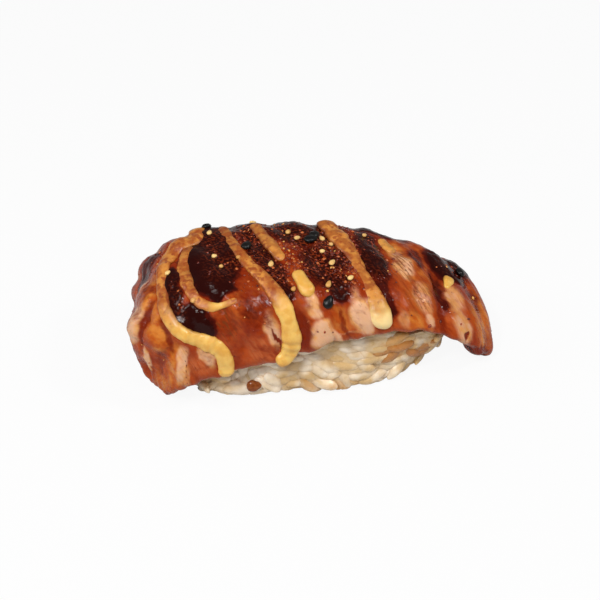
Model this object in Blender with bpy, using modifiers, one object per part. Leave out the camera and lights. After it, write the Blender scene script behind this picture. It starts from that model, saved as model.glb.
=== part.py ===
"""Salmon nigiri: a seared salmon slice draped over a bed of pressed rice, with strands of mayonnaise.

The object's frame: +X runs along the rice to the slice's narrow tail, +Z is up, and the origin is the
centre of the rice's flat base. Shapes are worked out in millimetres and handed to Blender in metres.

The slice is drawn flat first: (a, b) are millimetres along and across the flat slice, with the rice's
middle at (0, 0) and -b at the front. drape() then bends that flat sheet down over the rice.
"""
import math

import bmesh
import bpy
import numpy as np
from mathutils import Vector, noise
from mathutils.bvhtree import BVHTree

MM = 0.001

# ---- driving dimensions, millimetres ----
RICE_LENGTH = 55.0
RICE_WIDTH = 25.0
RICE_CENTRE_X = 2.0
RICE_TOP = 23.0                   # the bed stops below the slice wherever that is lower
RICE_CORNER = 2.8                 # exponent of the bed's rounded-rectangle plan
RICE_LUMP = 0.7                   # how far the pressed grains stand out
RICE_LUMP_PITCH = 4.2
RICE_RINGS = (56, 24)             # faces around and from base to top
RICE_HEART = 6.0                  # the height its lumps stand out from
RICE_UNDERCUT = 4.8               # how much shorter the base is than the bed at its right end
RICE_SPREAD = 2.2                 # how far the base spreads forward at its left end
RICE_SKIRT = 0.3                  # lowest height of the bed outside its flat base
CLEARANCE = 0.5                   # between the rice and the underside of the slice, along a ray
RIM_CLEARANCE = 1.6               # and at any point of the slice, its rim included

SLICE_THICKNESS = 5.0
SLICE_END_THICKNESS = 3.6
RIM_ROUNDING = 2.4                # how far in from its edge the slice is rounded off
RIM_THICKNESS = 0.5
HALF_LENGTH, HALF_WIDTH = 48.0, 23.0      # of the flat slice, roughly
BAND_RELIEF = 0.3                 # muscle bands swell between the lines of fat
BAND_SLANT = 0.55                 # the lines of fat lean: a + BAND_SLANT * b is steady along one
FAT_LINES = (-44, -37.5, -31, -24, -17.5, -7.6, 0.4, 8.3, 16.5, 25, 33, 41)
SLICE_GRID = (48, 30)             # faces along and across
FOLD_DEPTH = 0.8                  # the creases that fan out over the slice's left end
FOLD_CENTRE = (-22, -8)           # from this place on the flat slice
FOLD_PITCH = 5.5                  # creases to a full turn, and a little more
FOLD_PHASE = 0.6
SLOPE_STEP = 0.05                 # over which the slope of the drape is measured

STRAND_RADIUS = 1.2
STRAND_CLEARANCE = 0.3
STRAND_STEP = 2.2                 # between the points of a strand's curve
STRAND_TAPER = 0.6                # radius of its two ends, as a part of the rest

# ---- the flat slice's outline: (fraction along an edge from -1 to 1, millimetres) ----
LEFT_END = ((-1, -48.3), (-0.5, -50.3), (0, -51), (0.5, -49), (1, -43.5))
RIGHT_END = ((-1, 47), (-0.5, 46), (0, 44), (0.5, 41), (1, 37))
FRONT_EDGE = ((-1, -32), (-0.7, -32), (-0.3, -28.5), (0.1, -22.5), (0.5, -17.5), (1, -18.5))
BACK_EDGE = ((-1, 15.5), (-0.6, 18.5), (0, 18), (0.5, 15), (1, 10))
CORNER_ROUNDING = 0.72

# ---- how the slice lies over the rice ----
CREST = ((-42, 19.5), (-30, 23.4), (-20, 25.8), (-8, 26.6), (4, 25.9), (15, 23.8), (25, 19.8), (33, 15.2),
         (42, 9.5))               # (x, height of the slice's upper side along the middle)
FLAT_LEFT, FLAT_RIGHT = -21.2, 28.8
FLAT_HALF_WIDTH = ((-30, 3.5), (10, 3.5), (26, 2.0), (40, 1.2))
CROWN = 0.10                      # how steeply the flat middle falls away to its sides
TURN = {"front": 80, "back": 80, "left": 104, "right": 74}    # degrees each side turns down
BEND = {"front": 17, "back": 16, "left": 25, "right": 13}     # millimetres over which it does

# ---- the strands of mayonnaise: the places on the flat slice that each runs through ----
STRANDS = (
    ((-20.3, 14.8), (-20.2, 9.6), (-21, 6.8), (-24, 5.2), (-26.4, 2.4), (-27.3, -2.4), (-27.8, -7.5),
     (-27.2, -11.5), (-25.8, -15), (-23, -17.6), (-19.6, -19.5), (-17.2, -21.6), (-16.2, -24.6), (-16.3, -28)),
    ((-24.2, -0.6), (-23.5, -3), (-22.8, -6), (-22, -9), (-20.6, -11.4), (-18.5, -12.7), (-16.3, -12.6),
     (-13.4, -12)),
    ((-15.6, 15), (-15.3, 9.5), (-13.6, 3), (-11.1, -3.2), (-8.4, -7.7), (-6.3, -11.2), (-4.6, -14.6),
     (-3.7, -18.4), (-3.6, -22), (-4.8, -24.6), (-6.6, -25.4)),
    ((-9.2, 9), (-6.6, 2.6), (-5.4, -0.4), (-4.2, -3)),
    ((-1.9, -6.2), (-1.2, -8), (-0.4, -10), (0.5, -12)),
    ((4.8, 12), (6.3, 7), (7.8, 3.6), (9.3, 0.1), (10.5, -3.4), (11.6, -7.4), (12.6, -10.8), (13.5, -13.8),
     (13.9, -17.2)),
    ((16.2, 7), (17.4, 4.4), (18.2, 2.4)),
    ((28.9, -0.4), (28.6, -2), (28.1, -4)),
)


def curve_through(x, table):
    """Height at x of a smooth curve through the (x, height) pairs of a table."""
    xs, ys = np.asarray(table, float).T
    x = np.clip(np.asarray(x, float), xs[0], xs[-1])
    slope = np.gradient(ys, xs)
    i = np.clip(np.searchsorted(xs, x, side="right") - 1, 0, len(xs) - 2)
    gap = xs[i + 1] - xs[i]
    t = (x - xs[i]) / gap
    rise = (3 - 2 * t) * t * t
    bow = t * (1 - t) * gap * ((1 - t) * slope[i] - t * slope[i + 1])
    return ys[i] * (1 - rise) + ys[i + 1] * rise + bow


def smooth_step(x, low, high):
    t = np.clip((x - low) / (high - low), 0, 1)
    return t * t * (3 - 2 * t)


def flat_place(u, v):
    """Where (u, v), each from -1 to 1, lies on the flat slice: (a, b) in millimetres."""
    p = u * np.sqrt(1 - CORNER_ROUNDING * v * v / 2)
    q = v * np.sqrt(1 - CORNER_ROUNDING * u * u / 2)
    a = curve_through(q, LEFT_END) * (1 - p) / 2 + curve_through(q, RIGHT_END) * (1 + p) / 2
    b = curve_through(p, FRONT_EDGE) * (1 - q) / 2 + curve_through(p, BACK_EDGE) * (1 + q) / 2
    return a, b


def drape(a, b):
    """Bend the flat slice down over the rice: (a, b) to a point on its upper side."""
    half = curve_through(a, FLAT_HALF_WIDTH)
    near_a, near_b = np.clip(a, FLAT_LEFT, FLAT_RIGHT), np.clip(b, -half, half)
    over_a, over_b = a - near_a, b - near_b
    reach = np.hypot(over_a, over_b)
    way_a, way_b = over_a / np.maximum(reach, 1e-9), over_b / np.maximum(reach, 1e-9)

    def blend(sides):
        lengthwise = np.where(over_a < 0, sides["left"], sides["right"])
        crosswise = np.where(over_b < 0, sides["front"], sides["back"])
        return way_a ** 2 * lengthwise + way_b ** 2 * crosswise

    steps = (np.arange(48) + 0.5) / 48
    bent = smooth_step(reach[..., None] * steps, 0, np.maximum(blend(BEND), 1)[..., None])
    angle = np.radians(blend(TURN))[..., None] * bent
    outward = np.cos(angle).mean(-1) * reach
    drop = np.sin(angle).mean(-1) * reach
    x = near_a + way_a * outward
    y = near_b + way_b * outward
    z = curve_through(x, CREST) - drop - CROWN * np.abs(near_b)
    return np.stack([x, y, z], -1)


def relief(a, b):
    """Swelling of the muscle bands between the lines of fat, and the creases of the left end."""
    line = np.interp(a + BAND_SLANT * b, FAT_LINES, np.arange(len(FAT_LINES)))
    bands = BAND_RELIEF * (1 - 2 * np.abs(np.cos(np.pi * line)) ** 3)
    along, across = FOLD_CENTRE[0] - a, b - FOLD_CENTRE[1]
    fan = np.cos(FOLD_PITCH * np.arctan2(across, along) + FOLD_PHASE)
    creases = FOLD_DEPTH * fan * smooth_step(np.hypot(along, across), 10, 22) * smooth_step(-a, 24, 34)
    return bands + creases


def upper_side(a, b, height=0.0):
    """A point `height` above the slice's surface at (a, b)."""
    a, b = (np.asarray(value, float) for value in np.broadcast_arrays(a, b))
    along = drape(a + SLOPE_STEP, b) - drape(a - SLOPE_STEP, b)
    across = drape(a, b + SLOPE_STEP) - drape(a, b - SLOPE_STEP)
    out = np.cross(along, across)
    out /= np.linalg.norm(out, axis=-1, keepdims=True)
    return drape(a, b) + out * (relief(a, b) + height)[..., None]


def rim_distance(u, v):
    """Roughly how many millimetres in from the slice's edge (u, v) lies."""
    lengthwise = np.maximum(1 - np.abs(u), 1e-6) * HALF_LENGTH
    crosswise = np.maximum(1 - np.abs(v), 1e-6) * HALF_WIDTH
    return (lengthwise ** -4 + crosswise ** -4) ** -0.25


def make_material(name, colour, roughness):
    material = bpy.data.materials.new(name)
    material.use_nodes = True
    shader = material.node_tree.nodes["Principled BSDF"]
    shader.inputs["Base Color"].default_value = (*colour, 1)
    shader.inputs["Roughness"].default_value = roughness
    return material


def add_mesh_object(name, shape, material, collection):
    """Make a bmesh, drawn in millimetres, into an object in metres."""
    bmesh.ops.scale(shape, vec=(MM, MM, MM), verts=shape.verts)
    mesh = bpy.data.meshes.new(name)
    shape.to_mesh(mesh)
    shape.free()
    mesh.materials.append(material)
    mesh.shade_smooth()
    obj = bpy.data.objects.new(name, mesh)
    collection.objects.link(obj)
    return obj


def make_slice(material, collection):
    """The salmon slice: a grid draped over the rice, thickened downwards, thin at its rounded rim."""
    shape = bmesh.new()
    bmesh.ops.create_grid(shape, x_segments=SLICE_GRID[0], y_segments=SLICE_GRID[1], size=1)
    u, v, _ = np.array([vert.co for vert in shape.verts]).T
    u = 0.65 * u + 0.35 * np.sin(u * math.pi / 2)
    v = 0.55 * v + 0.45 * np.sin(v * math.pi / 2)
    a, b = flat_place(u, v)
    full = SLICE_END_THICKNESS + (SLICE_THICKNESS - SLICE_END_THICKNESS) * (1 - np.abs(u) ** 3)
    inward = np.clip(rim_distance(u, v) / RIM_ROUNDING, 0, 1)
    thickness = RIM_THICKNESS + (full - RIM_THICKNESS) * np.sqrt(1 - (1 - inward) ** 2)
    for vert, point in zip(shape.verts, upper_side(a, b, (thickness - full) / 2)):
        vert.co = point
    obj = add_mesh_object("salmon_slice", shape, material, collection)

    group = obj.vertex_groups.new(name="thickness")
    for index, value in enumerate(thickness / SLICE_THICKNESS):
        group.add([index], float(value), "REPLACE")
    solidify = obj.modifiers.new("Thickness", "SOLIDIFY")
    solidify.thickness = SLICE_THICKNESS * MM
    solidify.offset = -1
    solidify.vertex_group = "thickness"
    return obj


def slice_underside(obj):
    """A search tree of the thickened slice, in millimetres."""
    evaluated = obj.evaluated_get(bpy.context.evaluated_depsgraph_get())
    mesh = evaluated.to_mesh()
    corners = [vert.co / MM for vert in mesh.vertices]
    tree = BVHTree.FromPolygons(corners, [tuple(face.vertices) for face in mesh.polygons])
    evaluated.to_mesh_clear()
    return tree


def rice_profile(t):
    """(width fraction, height fraction) of the rice bed, t from 0 at its base's centre to 1 at its top."""
    width = curve_through(t, ((0, 0), (0.25, 0.6), (0.38, 0.93), (0.5, 1), (0.62, 0.98), (0.75, 0.86),
                              (0.9, 0.45), (1, 0)))
    height = curve_through(t, ((0, 0), (0.25, 0), (0.38, 0), (0.5, 0.22), (0.62, 0.5), (0.75, 0.8),
                               (0.9, 0.97), (1, 1)))
    return float(width), max(float(height), 0.0)


def rice_place(rise, turn):
    """A point of the smooth rice bed: rise from its base to its top and turn around it, in radians."""
    width, height = rice_profile(rise / math.pi)
    cos, sin = math.cos(turn), math.sin(turn)
    radius = width * (abs(cos) ** RICE_CORNER + abs(sin) ** RICE_CORNER) ** (-1 / RICE_CORNER)
    x = RICE_CENTRE_X + RICE_LENGTH / 2 * radius * cos
    y = RICE_WIDTH / 2 * radius * sin
    low = 1 - float(smooth_step(height, 0, 0.4))
    front = smooth_step(-sin, -0.2, 0.6) * smooth_step(-x, 0, 18)
    y -= RICE_SPREAD * low * float(front)
    x -= RICE_UNDERCUT * low * float(smooth_step(x, 6, 28))
    return Vector((x, y, RICE_TOP * height))


def make_rice(under, material, collection):
    """The rice bed: a rounded mound of pressed grains on a flat base, filling the space under the slice."""
    shape = bmesh.new()
    bmesh.ops.create_uvsphere(shape, u_segments=RICE_RINGS[0], v_segments=RICE_RINGS[1], radius=1)
    for vert in shape.verts:
        rise = math.acos(max(-1, min(1, -vert.co.z)))
        point = rice_place(rise, math.atan2(vert.co.y, vert.co.x))
        if point.z > 0:
            middle = Vector((0.7 * point.x, 0, RICE_HEART))
            way = (point - middle).normalized()
            lump = noise.noise(point / RICE_LUMP_PITCH) * 2 * RICE_LUMP
            reach = (point - middle).length + lump
            _, _, _, distance = under.ray_cast(middle, way)
            if distance is not None:
                reach = min(reach, distance - CLEARANCE)
            point = middle + way * reach
            for _ in range(3):
                nearest, _, _, distance = under.find_nearest(point)
                if distance < RIM_CLEARANCE:
                    past = (point - nearest).dot(way) > 0
                    point = point - way * (RIM_CLEARANCE + (distance if past else -distance))
            point.z = max(point.z, RICE_SKIRT)
        vert.co = point
    return add_mesh_object("rice_bed", shape, material, collection)


def make_strand(name, places, material, collection):
    """One strand of mayonnaise lying along the slice, tapered at both ends."""
    knots = np.array(places, float)
    lengths = np.concatenate([[0], np.cumsum(np.hypot(*np.diff(knots, axis=0).T))])
    count = max(4, round(lengths[-1] / STRAND_STEP) + 1)
    along = np.linspace(0, lengths[-1], count)
    a = curve_through(along, np.column_stack([lengths, knots[:, 0]]))
    b = curve_through(along, np.column_stack([lengths, knots[:, 1]]))
    points = upper_side(a, b, STRAND_RADIUS + STRAND_CLEARANCE)

    curve = bpy.data.curves.new(name, "CURVE")
    curve.dimensions = "3D"
    curve.bevel_depth = STRAND_RADIUS * MM
    curve.bevel_resolution = 2
    curve.use_fill_caps = True
    spline = curve.splines.new("POLY")
    spline.points.add(count - 1)
    for index, point in enumerate(points):
        spline.points[index].co = (*(point * MM), 1)
        spline.points[index].radius = STRAND_TAPER if index in (0, count - 1) else 1
    curve.materials.append(material)
    obj = bpy.data.objects.new(name, curve)
    collection.objects.link(obj)
    return obj


def main():
    for obj in list(bpy.data.objects):
        bpy.data.objects.remove(obj)
    collection = bpy.data.collections.new("salmon_nigiri")
    bpy.context.scene.collection.children.link(collection)

    salmon = make_material("seared_salmon", (0.38, 0.08, 0.02), 0.35)
    rice = make_material("cooked_rice", (0.62, 0.50, 0.34), 0.5)
    mayonnaise = make_material("mayonnaise", (0.66, 0.36, 0.10), 0.4)

    fillet = make_slice(salmon, collection)
    make_rice(slice_underside(fillet), rice, collection)
    for number, places in enumerate(STRANDS, 1):
        make_strand(f"mayo_strand_{number}", places, mayonnaise, collection)


main()
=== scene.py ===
"""The looks of a salmon nigiri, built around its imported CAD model.

Shapes are worked out in millimetres and made in metres. The slice is drawn flat first, as in the CAD: (a, b)
are millimetres along and across the flat slice, -b at the front, and drape() bends it down over the rice.
Everything that lies on the slice, such as glaze, mayonnaise and seeds, is placed by its (a, b).
"""
import math

import bpy
import numpy as np
from mathutils import Matrix, Vector
from mathutils.bvhtree import BVHTree


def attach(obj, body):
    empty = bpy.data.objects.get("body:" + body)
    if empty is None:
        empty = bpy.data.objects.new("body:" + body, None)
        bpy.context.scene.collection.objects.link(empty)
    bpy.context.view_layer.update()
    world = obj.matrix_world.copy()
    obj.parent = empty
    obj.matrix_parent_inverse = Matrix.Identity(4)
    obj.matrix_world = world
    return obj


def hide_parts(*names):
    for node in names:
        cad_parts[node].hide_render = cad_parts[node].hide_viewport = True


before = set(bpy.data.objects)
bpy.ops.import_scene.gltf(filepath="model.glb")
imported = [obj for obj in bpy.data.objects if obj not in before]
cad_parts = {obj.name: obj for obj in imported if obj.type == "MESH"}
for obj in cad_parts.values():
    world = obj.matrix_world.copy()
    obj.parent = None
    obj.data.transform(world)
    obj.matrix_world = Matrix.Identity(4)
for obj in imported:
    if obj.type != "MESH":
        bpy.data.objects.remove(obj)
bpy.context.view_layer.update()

MM = 0.001

# ---- the flat slice's outline and its drape: as in the CAD, but with shallower folds and a finer grid ----
LEFT_END = ((-1, -48.3), (-0.5, -50.3), (0, -51), (0.5, -49), (1, -43.5))
RIGHT_END = ((-1, 47), (-0.5, 46), (0, 44), (0.5, 41), (1, 37))
FRONT_EDGE = ((-1, -32), (-0.7, -32), (-0.3, -28.5), (0.1, -22.5), (0.5, -17.5), (1, -18.5))
BACK_EDGE = ((-1, 15.5), (-0.6, 18.5), (0, 18), (0.5, 15), (1, 10))
CORNER_ROUNDING = 0.72
CREST = ((-42, 19.5), (-30, 23.4), (-20, 25.8), (-8, 26.6), (4, 25.9), (15, 23.8), (25, 19.8), (33, 15.2),
         (42, 9.5))
FLAT_LEFT, FLAT_RIGHT = -21.2, 28.8
FLAT_HALF_WIDTH = ((-30, 3.5), (10, 3.5), (26, 2.0), (40, 1.2))
CROWN = 0.10
TURN = {"front": 80, "back": 80, "left": 104, "right": 74}
BEND = {"front": 17, "back": 16, "left": 25, "right": 13}

SLICE_THICKNESS = 5.0
SLICE_END_THICKNESS = 3.6
RIM_ROUNDING = 2.4
RIM_THICKNESS = 0.5
BAND_RELIEF = 0.3
BAND_SLANT = 0.55
FAT_LINES = (-44, -37.5, -31, -24, -17.5, -7.6, 0.4, 8.3, 16.5, 25, 33, 41)
FOLD_DEPTH = 0.45
FOLD_CENTRE = (-22, -8)
FOLD_PITCH = 5.5
FOLD_PHASE = 0.6
HALF_LENGTH, HALF_WIDTH = 48, 23  # of the flat slice, roughly
SLICE_GRID = (280, 165)

# ---- patches of colour on the flat slice: a, b, half length, half width, lean in degrees, strength ----
# ---- (with no lean a patch is long across the slice; a positive lean swings its front end to the right) ----
FAT_PATCHES = (
    (-35.8, -7.6, 4.2, 2.7, -78, 1.0), (-32.2, 1.0, 3.0, 1.1, -20, 0.75), (-38.9, -16.0, 2.8, 1.5, -50, 0.95),
    (-26.8, -23.0, 4.4, 2.0, -30, 0.78), (-25.6, -25.8, 3.0, 1.6, -20, 0.5),
    (-19.6, -22.6, 2.6, 1.3, 33, 0.9),
    (-7.0, -18.2, 4.2, 1.4, 12, 0.95), (-4.8, -15.0, 2.2, 0.9, 15, 0.6), (0.7, -13.6, 2.4, 1.3, 22, 0.8),
    (2.6, -19.2, 3.4, 2.4, 6, 1.0), (5.0, -19.6, 2.6, 1.1, 15, 0.8), (10.1, -15.2, 4.0, 2.1, 15, 1.0),
    (8.8, -11.0, 2.2, 1.2, 15, 0.6), (18.2, 2.9, 2.0, 1.3, 9, 0.5), (19.4, -1.2, 4.4, 1.8, 10, 0.8),
    (22.6, -8.6, 3.8, 1.8, 12, 0.5), (18.3, -14.0, 2.0, 1.3, 12, 0.5), (23.5, -13.0, 1.8, 0.9, 10, 0.7),
    (29.1, -6.6, 3.8, 2.4, 6, 0.62), (30.8, -12.2, 3.6, 2.1, 11, 0.66), (-9.6, 7.4, 1.6, 1.3, 0, 0.7),
    (26.5, 6.5, 3.4, 1.2, 80, 0.35), (20.0, 8.0, 3.0, 1.4, 60, 0.4), (13.4, -19.0, 9.0, 0.5, 84, 0.5),
)
# orange flesh; the two patches at the tail's right end (a 35.8 and 37.4) are painted light from the right
# side
ORANGE_AND_LIT_PATCHES = (
    (-30.9, -5.2, 4.4, 2.2, -15, 1.0), (-30.6, -13.6, 5.4, 2.4, -12, 0.75), (-38.5, -23.5, 6.5, 2.6, 64, 0.5),
    (-29.5, -24.0, 5.0, 3.4, -25, 0.8), (6.4, -16.8, 3.0, 1.4, 19, 0.45), (20.6, -14.4, 1.8, 1.6, 22, 0.8),
    (18.6, 3.4, 3.0, 1.4, 9, 0.9), (21.4, -3.6, 7.0, 3.0, 10, 0.35), (35.8, -8.8, 4.6, 2.2, 20, 0.85),
    (37.4, -5.0, 5.0, 1.8, 20, 0.7),
    (-11.5, -11.0, 4.0, 3.0, 5, 0.25), (26.0, 2.5, 6.0, 3.0, 10, 0.25),
)
RAW_PATCHES = (
    (-21.6, -24.0, 3.0, 2.4, 28, 0.9), (-8.8, -22.6, 3.4, 3.6, 10, 0.8), (-1.0, -15.5, 3.0, 1.4, 15, 0.3),
    (18.4, -13.0, 3.2, 1.6, 12, 0.6), (14.4, -18.2, 9.0, 1.3, 84, 0.7), (-15.5, -20.5, 3.0, 2.0, 0, 0.35),
    (29.5, -9.0, 6.0, 2.4, 10, 0.5),
)
DARK_PATCHES = (
    (-33.6, -10.4, 5.5, 0.9, -62, 0.9), (-34.4, -19.6, 5.5, 1.3, -70, 0.6), (-28.6, -15.5, 5.0, 0.8, 0, 0.75),
    (-19.8, -21.4, 1.1, 0.35, 42, 1.0), (-6.3, -19.6, 2.3, 0.45, 24, 1.0), (-1.2, -18.2, 4.4, 1.4, 11, 1.0),
    (6.9, -17.5, 3.4, 0.6, 19, 0.7), (4.3, -20.0, 2.4, 0.25, 8, 0.4), (13.8, -16.0, 3.0, 1.0, 12, 0.5),
    (26.2, -8.4, 6.2, 1.2, 2, 0.9), (34.5, -3.2, 3.4, 2.0, 11, 0.4), (37.8, -13.4, 4.2, 1.4, -67, 1.0),
    (31.7, -13.0, 0.8, 0.4, 0, 1.0), (-14.4, -22.4, 3.6, 2.0, -5, 0.5), (-12.0, -8.8, 4.6, 3.2, 5, 0.6),
    (16.6, -9.5, 3.6, 1.4, 9, 0.5), (21.0, -6.0, 3.0, 0.6, 12, 0.6), (28.6, -16.2, 6.0, 0.8, -84, 0.5),
    (-4.0, -22.6, 3.2, 0.7, 80, 0.5), (-15.8, -15.8, 3.4, 2.8, 15, 0.6),
)
CHAR_PATCHES = (
    (-25.2, -22.6, 3.6, 0.6, -10, 1.0), (19.8, -0.8, 4.4, 1.6, 10, 0.8), (22.6, -8.2, 3.4, 1.5, 12, 0.8),
    (-27.6, 4.6, 3.0, 2.0, -50, 0.8), (8.4, -10.6, 2.4, 1.4, 15, 0.8), (30.2, -4.2, 1.6, 1.4, 0, 0.3),
    (-12.0, -12.6, 3.2, 2.0, 10, 0.6), (25.0, -15.0, 1.4, 1.2, 0, 0.7), (-31.0, -1.0, 1.6, 0.8, -30, 0.8),
    (28.0, 3.0, 3.0, 1.2, 60, 0.7), (13.6, -11.0, 3.6, 1.2, 10, 0.6),
)
SCORE_PATCHES = ((-16.0, -16.0, 3.2, 2.6, 15, 1.0), (19.6, -1.4, 3.6, 1.7, 10, 0.9),
                 (22.6, -8.0, 3.0, 1.5, 12, 0.6))
# ---- pools of glaze, in the same form ----
GLAZE_POOLS = (
    (-18.0, -1.6, 9.6, 5.5, 3, 1.0), (-17.5, 7.5, 6.0, 4.4, 0, 1.0), (-16.8, -9.0, 2.6, 3.6, 0, 1.0),
    (-21.9, -14.9, 5.2, 2.4, 50, 1.0), (-19.6, -15.6, 2.0, 1.8, 40, 0.7), (-25.4, -7.4, 6.0, 1.6, 2, 1.0),
    (-32.4, 4.4, 5.2, 2.9, -42, 0.56), (-23.8, 6.6, 2.0, 1.7, 80, 0.9), (-5.6, -7.8, 6.4, 2.3, 17, 1.0),
    (-8.0, -1.6, 4.0, 2.4, 20, 0.85), (2.6, -4.6, 6.6, 3.2, 9, 0.85), (5.6, -9.0, 4.0, 2.6, 10, 0.8),
    (0.5, 6.6, 8.0, 5.0, 84, 0.85), (6.0, 0.0, 6.0, 3.0, 10, 0.8), (13.4, -0.2, 8.0, 2.8, 8, 1.0),
    (15.4, -10.6, 4.0, 1.3, 14, 0.58), (-9.5, 5.5, 6.0, 2.8, 15, 0.85),
    (26.4, -4.6, 6.0, 1.3, 6, 0.42), (28.6, 2.4, 4.6, 3.3, 54, 1.0), (32.0, 6.0, 3.0, 2.8, 40, 0.8),
    (-10.2, -14.0, 5.0, 3.4, 12, 0.28), (22.6, 1.8, 3.4, 1.5, 9, 0.45), (34.4, -2.6, 3.4, 1.8, 11, 0.3),
    (-10.0, 13.5, 4.0, 9.0, 0, 0.75), (14.0, 11.5, 3.4, 6.0, 0, 0.7),
)
GLAZE_EDGE = 0.5                  # the depth at which the glaze starts to stand above the slice
GLAZE_HEIGHT = 0.55

# ---- larger lumps and hollows, in the same form, the last number in millimetres ----
LUMPS = (
    (-33.6, -10.4, 6.0, 2.0, -62, -0.35), (-30.8, -13.8, 6.0, 2.8, -12, 0.25),
    (-33.6, -19.4, 6.5, 2.4, -88, -0.3),
    (-34.0, 4.0, 6.0, 5.0, -66, -1.5), (-28.0, -24.0, 5.0, 3.0, -25, 0.4), (-36.0, -7.5, 5.0, 3.0, -85, 0.5),
    (17.2, 5.0, 6.0, 2.2, 9, -0.9), (22.5, 5.0, 6.0, 3.2, 9, 0.5), (26.3, -6.0, 8.0, 1.4, 2, -0.5),
    (-1.2, -18.0, 5.0, 1.3, 11, -0.5), (2.6, -19.0, 3.6, 2.4, 6, 0.35), (10.1, -15.0, 4.0, 2.2, 15, 0.35),
    (-26.4, -17.6, 5.0, 1.3, 5, -0.4), (35.5, -3.0, 4.0, 2.0, 11, -0.3), (31.0, -12.0, 4.0, 1.8, 11, 0.3),
    (-45.0, -14.8, 3.0, 2.8, 0, -1.5),
)

# ---- strands of mayonnaise: the places they run through, and their width along them ----
STRANDS = (
    ("mayo_strand_1", ((-20.3, 14.8), (-20.2, 9.6), (-21, 6.8), (-24, 5.2), (-26.4, 2.4), (-27.3, -2.4),
                       (-27.8, -7.5), (-27.2, -11.5), (-25.8, -15), (-23, -17.6), (-19.6, -19.5),
                       (-17.2, -21.6),
                       (-16.2, -24.6), (-16.3, -28)), (3.2, 3.9, 4.0, 2.5, 2.3, 2.6, 3.0, 3.2, 3.0)),
    ("mayo_strand_2", ((-21.6, 4.4), (-22.6, 1.6), (-23.3, -2), (-22.8, -6), (-22, -9), (-20.6, -11.4),
                       (-18.5, -12.7),
                       (-16.3, -12.6), (-13.4, -12)), (2.0, 2.2, 2.6, 2.5, 2.3, 2.2, 1.6, 1.0)),
    ("mayo_strand_3", ((-15.6, 15), (-15.3, 9.5), (-13.6, 3), (-11.1, -3.2), (-8.4, -7.7), (-6.3, -11.2),
                       (-4.6, -14.6), (-3.7, -18.4), (-3.6, -22), (-4.8, -24.6), (-6.6, -25.4)),
     (2.0, 2.3, 2.2, 2.2, 2.5, 2.9, 3.3, 3.9, 3.0)),
    ("mayo_strand_4", ((-9.2, 9), (-6.6, 2.6), (-5.4, -0.4), (-4.2, -3)), (2.2, 2.4, 2.6, 2.0)),
    ("mayo_strand_5", ((-1.9, -6.2), (-1.2, -8), (-0.4, -10), (0.5, -12)), (2.6, 3.0, 2.9, 2.4)),
    ("mayo_strand_6", ((4.8, 12), (6.3, 7), (7.8, 3.6), (9.3, 0.1), (10.5, -3.4), (11.6, -7.4), (12.6, -10.8),
                       (13.5, -13.8), (13.9, -17.2)), (3.0, 3.8, 4.0, 3.6, 2.8, 2.4, 3.0, 4.2, 4.2)),
    ("mayo_strand_7", ((16.2, 7), (17.4, 4.4), (18.2, 2.4)), (2.0, 2.4, 1.8)),
    ("mayo_strand_8", ((28.9, -0.4), (28.6, -2), (28.1, -4)), (2.4, 2.0, 1.2)),
)
STRAND_HEIGHT = 0.36              # of its width
TORCHED = {"mayo_strand_4": 0.75, "mayo_strand_5": 0.35, "mayo_strand_6": 0.85, "mayo_strand_7": 0.6,
           "mayo_strand_8": 0.2}

# ---- seeds: a, b, turn in degrees, length ----
BLACK_SEEDS = ((-10.8, 1.3, 65, 2.7), (1.7, 2.6, 20, 2.9), (3.6, -13.0, 70, 2.7), (2.6, 4.4, 40, 2.4),
               (31.9, 3.6, 80, 3.0), (-18.2, 11.4, 75, 2.8))
GOLDEN_SEEDS = ((-6.5, -4.0, 80, 1.8), (5.2, -4.1, 60, 1.8), (4.0, -9.5, 70, 1.6), (8.3, -8.0, 40, 1.4),
                (-2.4, 6.2, 70, 1.5), (-0.8, 3.9, 30, 1.3), (-17.8, 7.2, 85, 1.6), (-17.2, -0.4, 5, 1.1),
                (-2.7, -10.5, 60, 1.1), (-21.6, -10.9, 40, 1.2), (-26.0, -2.8, 20, 1.2), (5.6, 1.6, 60, 1.0),
                (3.9, 3.2, 110, 1.5), (-12.6, -2.0, 30, 1.0), (8.2, 1.6, 100, 1.0), (-9.0, 12.5, 20, 1.5),
                (6.0, 12.0, 120, 1.5), (-16.0, -3.6, 70, 0.9), (3.6, -1.0, 15, 1.1), (12.8, 6.4, 30, 1.0))

# ---- rice ----
GRAIN_LENGTH, GRAIN_WIDTH, GRAIN_DEPTH = 7.4, 3.1, 2.1
GRAIN_COUNT = 560
GRAIN_SPACING = 1.95
RICE_MIDDLE = (1.5, 0, 8)
CORE_INSET = 0.4
GRAIN_SIDES = 0.5                 # how far from level a surface may face and still carry grains
# ---- sauce soaked into the rice, and painted shade low at its front (the first spot): x, y, z, half width, half height, strength ----
SAUCE_AND_SHADE_SPOTS = (
    (4, -12.5, 1.5, 8, 2.2, 0.18), (17.5, -11, 9, 3.2, 2.6, 0.8), (23, -9, 7, 2.4, 2.4, 0.8),
    (24, 0, 3, 4, 3, 0.4), (-10, 12, 8, 4, 3, 0.5), (12, 12, 6, 5, 3, 0.4),
)
SAUCE_DROP = (-10.8, -14, 3.8)    # x, y, z near the front of the rice


def curve_through(x, table):
    """Height at x of a smooth curve through the (x, height) pairs of a table."""
    xs, ys = np.asarray(table, float).T
    x = np.clip(np.asarray(x, float), xs[0], xs[-1])
    slope = np.gradient(ys, xs)
    i = np.clip(np.searchsorted(xs, x, side="right") - 1, 0, len(xs) - 2)
    gap = xs[i + 1] - xs[i]
    t = (x - xs[i]) / gap
    rise = (3 - 2 * t) * t * t
    bow = t * (1 - t) * gap * ((1 - t) * slope[i] - t * slope[i + 1])
    return ys[i] * (1 - rise) + ys[i + 1] * rise + bow


def smooth_step(x, low, high):
    t = np.clip((x - low) / (high - low), 0, 1)
    return t * t * (3 - 2 * t)


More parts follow.
